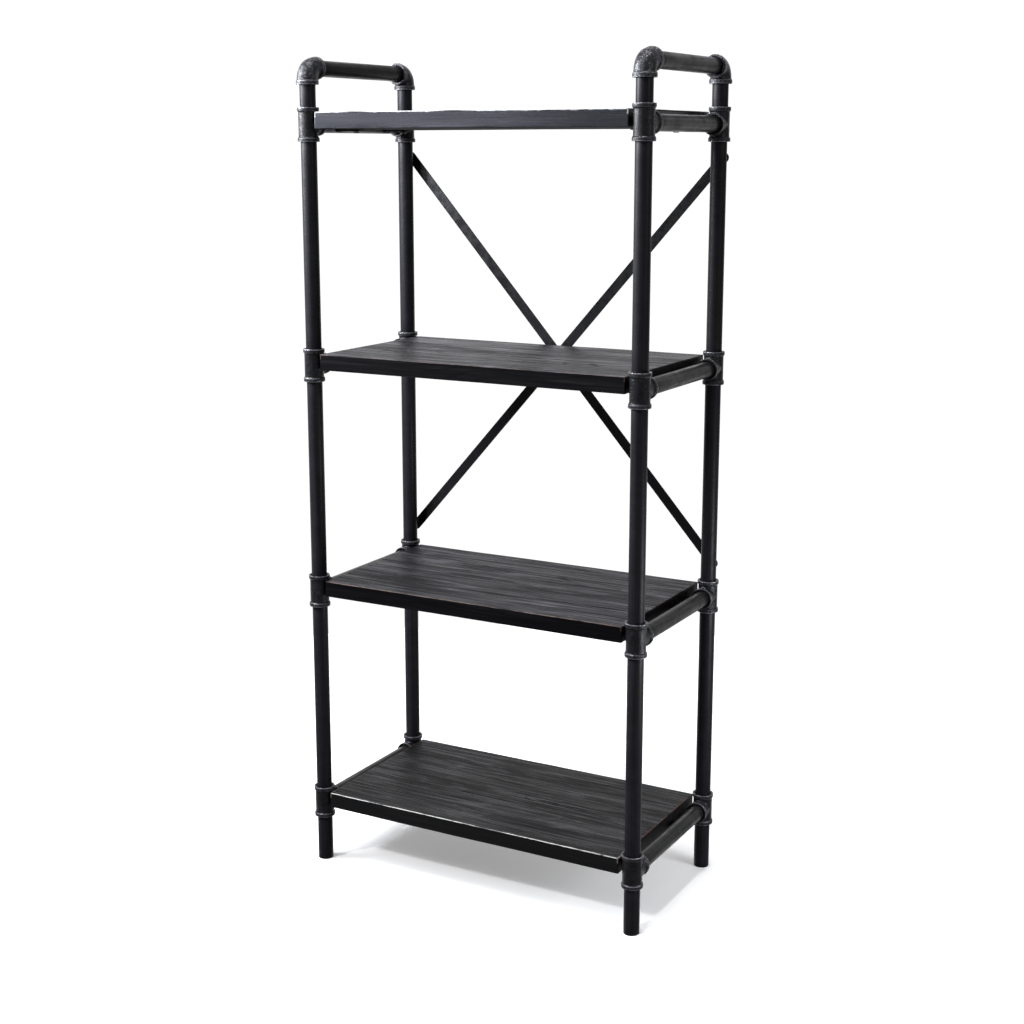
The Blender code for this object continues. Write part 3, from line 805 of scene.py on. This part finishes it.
def shelf_tab(side, tier, face, rail_middle, tip):
    """One tab with its weld bead and its shelf screw. The tip is the X of its free end."""
    word = f"{side}_{tier}_{face}"
    inward = 1 if side == "left" else -1
    spin = 0.0 if side == "left" else math.pi
    sign = -1 if face == "front" else 1
    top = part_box(f"shelf_{tier}")[0][2] - SHELF_GAP
    centre = top - TAB_THICKNESS / 2
    root = math.sqrt(PIPE_RADIUS ** 2 - (rail_middle.z - centre) ** 2) - TAB_SINK
    reach = abs(tip - rail_middle.x) - root
    y = rail_middle.y + sign * TAB_INSET
    hole = (reach - TAB_HOLE_INSET, 0, TAB_HOLE_RADIUS)
    plate = plate_mesh(f"tab_{word}", tab_outline(reach), [hole], TAB_THICKNESS, TAB_EDGE)
    put(f"tab_{word}", plate, RAIL_PAINT, (rail_middle.x + inward * root, y, centre), spin)
    bead = weld_mesh(f"weld_{word}", TAB_WIDTH - WELD_INSET, WELD_RADIUS, f"{side}{tier}{face}")
    corner = (rail_middle.x + inward * (root + 0.0012), y, top - TAB_THICKNESS)
    put(f"weld_{word}", bead, RAIL_PAINT, corner)
    seat = (rail_middle.x + inward * (root + reach - TAB_HOLE_INSET), y, top - TAB_THICKNESS - SEAT_GAP)
    put(f"shelf_screw_{word}", SCREW, BOLT_STEEL, seat, 0.4 * sign)


for side in SIDES:
    for tier in LEVELS:
        node = f"rail_{side}_{tier}"
        low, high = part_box(node)
        centre = Vector((LEG_X[side], (low[1] + high[1]) / 2, LEVEL_Z[tier]))
        mesh = pipe_mesh(node, high[1] - low[1], level)
        put(f"{node}_fine", mesh, RAIL_PAINT, centre, nodes=[node])
        for face in FACES:
            shelf_tab(side, tier, face, centre, high[0] if side == "left" else low[0])
    node = f"handle_pipe_{side}"
    low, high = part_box(node)
    centre = (LEG_X[side], (low[1] + high[1]) / 2, HANDLE_Z)
    mesh = pipe_mesh(node, high[1] - low[1], level)
    put(f"{node}_fine", mesh, HANDLE_PAINT, centre, nodes=[node])


# ---------------------------------------------------------------- cross brace
def bolt_mesh():
    """A domed head outside the bar, towards +Y, and a shank through it."""
    wide = BOLT_HEAD_RADIUS
    dome = BOLT_HEAD_HEIGHT - BOLT_RIM
    corners = [(-BOLT_SHANK_LENGTH, BOLT_SHANK_RADIUS - 0.0004, 0),
               (-BOLT_SHANK_LENGTH + 0.0005, BOLT_SHANK_RADIUS, 0),
               (0, BOLT_SHANK_RADIUS, 0), (0, wide - 0.0002, 0.0002), (BOLT_RIM, wide, 0.0004)]
    corners += [(BOLT_RIM + dome * math.sin(turn), wide * math.cos(turn), 0)
                for turn in np.linspace(0.25, 1.45, 7)]
    bolt = lathe("bolt", corners, level, 40)
    mark(bolt, "rub", smooth(0.0020, 0.0036, points_of(bolt)[:, 1]) * 0.6)
    return bolt


def boss_mesh(name, reach):
    """A boss along +Y from inside the leg to the bar, with a flared weld at its root."""
    corners = [(BOSS_ROOT, BOSS_RADIUS + 0.004, 0), (PIPE_RADIUS - 0.001, BOSS_RADIUS + 0.003, 0.002),
               (PIPE_RADIUS + 0.0018, BOSS_RADIUS, 0.002), (reach - SEAT_GAP, BOSS_RADIUS, 0.0005),
               (reach - SEAT_GAP, BOLT_SHANK_RADIUS + 0.001, 0)]
    return lathe(name, corners, level)


def bar_mesh(name, span):
    """A flat bar along X with round ends and a hole at each end and in the middle."""
    half = BAR_WIDTH / 2
    outline = [(sign * (span / 2 + half * math.cos(turn)), sign * half * math.sin(turn))
               for sign in (1, -1) for turn in np.linspace(-math.pi / 2, math.pi / 2, 20)]
    holes = [(x, 0, BAR_HOLE_RADIUS) for x in (-span / 2, span / 2, 0)]
    return plate_mesh(name, outline, holes, BAR_THICKNESS, BAR_EDGE)


def rivet_head(face, outward):
    """A rivet's outline from the crown of its head to its shank, on a bar's face."""
    seat = face + outward * SEAT_GAP
    return [(face + outward * RIVET_HEAD_HEIGHT, 0.0018, 0), (face + outward * 0.0012, 0.0045, 0.0008),
            (seat, RIVET_HEAD_RADIUS, 0.0002), (seat, RIVET_RADIUS, 0)]


BAR_ENDS = {"inner": (("top", "left"), ("bottom", "right")), "outer": (("top", "right"), ("bottom", "left"))}
BAR_FRONT = {bar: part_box(f"brace_bar_{bar}")[0][1] for bar in BAR_ENDS}
BAR_BACK = {bar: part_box(f"brace_bar_{bar}")[1][1] for bar in BAR_ENDS}
BOLT = bolt_mesh()
BOLT_PLACE = {}
for bar, ends in BAR_ENDS.items():
    for height, side in ends:
        node = f"brace_bolt_{height}_{side}"
        z = middle(node).z
        BOLT_PLACE[height, side] = Vector((LEG_X[side], BAR_BACK[bar] + SEAT_GAP, z))
        put(f"{node}_domed", BOLT, BOLT_STEEL, BOLT_PLACE[height, side], nodes=[node])
        boss = boss_mesh(f"boss_{height}_{side}", BAR_FRONT[bar] - LEG_Y["back"])
        put(f"boss_{height}_{side}", boss, LEG_PAINT, (LEG_X[side], LEG_Y["back"], z))

for bar, ends in BAR_ENDS.items():
    first, second = (BOLT_PLACE[end] for end in ends)
    node = f"brace_bar_{bar}"
    mesh = bar_mesh(node, math.hypot(second.x - first.x, second.z - first.z))
    centre = (first + second) / 2
    centre.y = (BAR_FRONT[bar] + BAR_BACK[bar]) / 2
    piece = put(f"{node}_flat", mesh, BAR_PAINT, centre, nodes=[node])
    piece.rotation_euler = (math.pi / 2, math.atan2(first.z - second.z, second.x - first.x), 0)

CROSSING = Vector((MIDDLE.x, 0, (BOLT_PLACE["top", "left"].z + BOLT_PLACE["bottom", "left"].z) / 2))
RIVET = lathe("rivet", rivet_head(BAR_FRONT["inner"], -1) + rivet_head(BAR_BACK["outer"], 1)[::-1], level)
mark(RIVET, "rub", np.zeros(len(RIVET.vertices)))
put("brace_rivet", RIVET, BOLT_STEEL, CROSSING)


# ---------------------------------------------------------------- foot plugs
PLUG_RADIUS = 0.0138
PLUG_LENGTH = 0.018
PLUG = lathe("plug", [(0.0004, 0.006, 0), (0.0004, PLUG_RADIUS - 0.0008, 0.001), (0.003, PLUG_RADIUS, 0.001),
                      (PLUG_LENGTH - 0.002, PLUG_RADIUS, 0.0006), (PLUG_LENGTH, 0.010, 0)])
for face in FACES:
    for side in SIDES:
        put(f"foot_plug_{face}_{side}", PLUG, LEG_PAINT, (LEG_X[side], LEG_Y[face], 0))


# ---------------------------------------------------------------- shelves
def lattice_skin(xs, ys, zs):
    """The skin of a block cut along three lists of places: its points and its quads."""
    size = (len(xs), len(ys), len(zs))
    cells = np.indices(size)
    skin = np.zeros(size, dtype=bool)
    for axis in range(3):
        skin |= (cells[axis] == 0) | (cells[axis] == size[axis] - 1)
    number = np.full(size, -1)
    number[skin] = np.arange(skin.sum())
    points = np.stack(np.meshgrid(xs, ys, zs, indexing="ij"), axis=-1)[skin]
    sheets = [number[:, :, -1], number[:, :, 0][:, ::-1], number[:, 0, :], number[:, -1, :][:, ::-1],
              number[-1, :, :], number[0, :, :][:, ::-1]]
    quads = []
    for sheet in sheets:
        corners = (sheet[:-1, :-1], sheet[1:, :-1], sheet[1:, 1:], sheet[:-1, 1:])
        quads.append(np.stack(corners, axis=-1).reshape(-1, 4))
    return points, np.concatenate(quads)


def field(points, scale, shift):
    """Smooth noise at each point, about -1 to 1."""
    return np.array([noise.noise(Vector(point)) for point in points * np.array(scale) + shift])


def board_mesh(name, seed):
    """A brushed board: worn round edges, a wavy skin and a few long checks (cracks) along the grain."""
    chance = random.Random(seed)
    half = np.array(SHELF_HALF) + np.array((BOARD_SPREAD, 0, 0))
    checks = []
    for _ in range(CHECK_COUNT):
        run = chance.uniform(0.10, 0.30)
        y = chance.uniform(-0.15, 0.17)
        start = chance.uniform(-0.3, 0.3 - run)
        checks.append((y, start, run, chance.uniform(0.0009, 0.0018)))
    xs = set(np.linspace(-half[0], half[0], 90))
    ys = set(np.linspace(-half[1], half[1], 150))
    for inset in EDGE_INSETS:
        xs |= {-half[0] + inset, half[0] - inset}
        ys |= {-half[1] + inset, half[1] - inset}
    for y, *_ in checks:
        ys |= {y - 0.0022, y - 0.0007, y, y + 0.0007, y + 0.0022}
    side_insets = (0, 0.0006, 0.0013, 0.0022, 0.0045, 0.009)
    zs = {side * (half[2] - inset) for side in (-1, 1) for inset in side_insets}
    points, quads = lattice_skin(sorted(xs), sorted(ys), sorted(zs | {0}))
    shift = np.array([chance.uniform(0, 50) for _ in range(3)])

    edge_noise = field(points, (24, 24, 24), shift)
    radius = EDGE_ROUND * (1.0 + 0.45 * edge_noise)[:, None]
    core = np.clip(points, -(half - radius), half - radius)
    away = points - core
    length = np.linalg.norm(away, axis=1, keepdims=True)
    way = away / np.maximum(length, 1e-9)
    shaped = core + way * radius

    sunk = np.zeros(len(points))
    top = points[:, 2] > half[2] - 0.0001
    for y, start, run, depth in checks:
        along = (points[:, 0] - start) / run
        inside = (along > 0) & (along < 1) & top
        taper = np.sqrt(np.clip(4 * along * (1 - along), 0, 1))
        near = np.clip(1 - np.abs(points[:, 1] - y) / CHECK_HALF_WIDTH, 0, 1)
        sunk += np.where(inside, depth * taper * near, 0)
    relief = 0.0002 * field(points, (6, 60, 60), shift) + 0.0003 * field(points, (9, 9, 9), shift + 5)
    shaped = shaped - way * (BOARD_SINK - relief + sunk)[:, None]

    # the checks wander a little in Y, and the long edges stay straight
    inward = 1 - np.abs(points[:, 1] / half[1]) ** 4
    shaped[:, 1] += inward * GRAIN_WANDER * field(points, (6, 4, 4), shift + 9)
    mesh = finished_mesh(name, shaped, quads.tolist(), sharp_angle=60)
    # how deep each check is sunk, for the material's painted shade in it
    mark(mesh, "sunk", sunk / 0.001)
    return mesh


for index, tier in enumerate(LEVELS):
    node = f"shelf_{tier}"
    mesh = board_mesh(node, BOARD_SEED + index)
    put(f"{node}_board", mesh, TIMBERS[tier], middle(node), nodes=[node])


# ---------------------------------------------------------------- stage, light and camera
FLOOR_RADIUS = 1.8
FLOOR_GLOW = 0.27
PANEL_COLOR = (0.93, 0.95, 1.0)
SWEEP_DIRECTION = (-0.52, 0.84, -0.15)  # towards the lit sweep behind the bookcase
SWEEP_GLOW = 1.15
FRONT_GLOW = 0.16
BACKDROP_GLOW = 1.05
CAMERA_OFFSET = Vector((1.6215, -2.9278, 1.5330))  # from the floor at the middle of the legs
CAMERA_YAW = math.radians(29.0)
CAMERA_PITCH = math.radians(11.66)
CAMERA_LENS = 57.51
CAMERA_SHIFT = -0.0273


def floor():
    """A pale round studio floor, slightly lit from within. It stays out of the object's reflections."""
    mesh = bpy.data.meshes.new("floor")
    shape = bmesh.new()
    bmesh.ops.create_circle(shape, cap_ends=True, segments=96, radius=FLOOR_RADIUS)
    shape.to_mesh(mesh)
    shape.free()
    made = Finish("floor_paper")
    grain = made.noise(made.scaled(made.place(), (3, 3, 3)), detail=4)
    paper = made.ramp(grain, [(0.3, (0.90, 0.90, 0.90)), (0.7, (0.93, 0.93, 0.93))])
    made.set(base_color=paper, roughness=0.9, emission_color=(1, 1, 1, 1), emission_strength=FLOOR_GLOW)
    mesh.materials.append(made.material)
    piece = bpy.data.objects.new("floor", mesh)
    piece.visible_glossy = False
    piece.visible_diffuse = False
    SCENE.collection.objects.link(piece)


def sun(name, strength, angle, direction):
    """Soft light from far away, shining along a direction."""
    lamp = bpy.data.lights.new(name, "SUN")
    lamp.energy = strength
    lamp.angle = math.radians(angle)
    holder = bpy.data.objects.new(name, lamp)
    holder.rotation_euler = Vector(direction).to_track_quat("-Z", "Y").to_euler()
    SCENE.collection.objects.link(holder)


def softbox(name, power, width, height, offset, target_offset):
    """A flat rectangular light facing a target. Both offsets are from the middle of the legs."""
    location = MIDDLE + Vector(offset)
    target = MIDDLE + Vector(target_offset)
    lamp = bpy.data.lights.new(name, "AREA")
    lamp.shape = "RECTANGLE"
    lamp.size = width
    lamp.size_y = height
    lamp.energy = power
    lamp.color = PANEL_COLOR
    holder = bpy.data.objects.new(name, lamp)
    holder.location = location
    holder.rotation_euler = (target - location).to_track_quat("-Z", "Y").to_euler()
    SCENE.collection.objects.link(holder)


def studio():
    """White to the camera; for everything else a lit sweep behind and a dim room in front."""
    world = bpy.data.worlds.new("studio")
    world.use_nodes = True
    tree = world.node_tree
    output = tree.nodes["World Output"]
    ambient = tree.nodes["Background"]
    ambient.inputs["Color"].default_value = (0.98, 0.98, 1.0, 1)
    way = tree.nodes.new("ShaderNodeTexCoord").outputs["Generated"]
    behind = tree.nodes.new("ShaderNodeVectorMath")
    behind.operation = "DOT_PRODUCT"
    tree.links.new(way, behind.inputs[0])
    behind.inputs[1].default_value = SWEEP_DIRECTION
    glow = tree.nodes.new("ShaderNodeMapRange")
    glow.interpolation_type = "SMOOTHSTEP"
    tree.links.new(behind.outputs["Value"], glow.inputs["Value"])
    limits = {"From Min": 0.3, "From Max": 1.0, "To Min": FRONT_GLOW, "To Max": SWEEP_GLOW}
    for socket, value in limits.items():
        glow.inputs[socket].default_value = value
    tree.links.new(glow.outputs[0], ambient.inputs["Strength"])
    backdrop = tree.nodes.new("ShaderNodeBackground")
    backdrop.inputs["Color"].default_value = (1, 1, 1, 1)
    backdrop.inputs["Strength"].default_value = BACKDROP_GLOW
    rays = tree.nodes.new("ShaderNodeLightPath")
    mix = tree.nodes.new("ShaderNodeMixShader")
    tree.links.new(rays.outputs["Is Camera Ray"], mix.inputs[0])
    tree.links.new(ambient.outputs[0], mix.inputs[1])
    tree.links.new(backdrop.outputs[0], mix.inputs[2])
    tree.links.new(mix.outputs[0], output.inputs[0])
    SCENE.world = world


def lights():
    """Two suns for the crisp double shadow, and softboxes for the highlights on the pipes."""
    sun("key", 1.25, 4, (0.36, 0.82, -1.0))
    sun("overhead", 1.75, 6, (0, 0.03, -1))
    softbox("left_panel", 25, 0.7, 1.0, (-1.08, -1.80, 2.20), (0, 0, 1.7))
    softbox("left_strip", 62, 0.5, 1.0, (-1.35, -0.75, 1.95), (-0.35, -0.1, 1.5))
    softbox("low_fill", 4.5, 0.4, 0.3, (1.15, 0.0, 0.45), (0.3, 0, 0))
    softbox("right_strip", 8, 0.3, 1.8, (3.2, -0.4, 2.2), (0, 0, 1.5))


def camera():
    """The photograph's view: from the front right, a little above the middle."""
    lens = bpy.data.cameras.new("camera")
    lens.lens = CAMERA_LENS
    lens.sensor_width = 36
    lens.shift_y = CAMERA_SHIFT
    holder = bpy.data.objects.new("camera", lens)
    holder.location = MIDDLE + CAMERA_OFFSET
    holder.rotation_euler = (math.pi / 2 - CAMERA_PITCH, 0, CAMERA_YAW)
    SCENE.collection.objects.link(holder)
    SCENE.camera = holder


floor()
studio()
lights()
camera()
SCENE.view_settings.view_transform = "Standard"
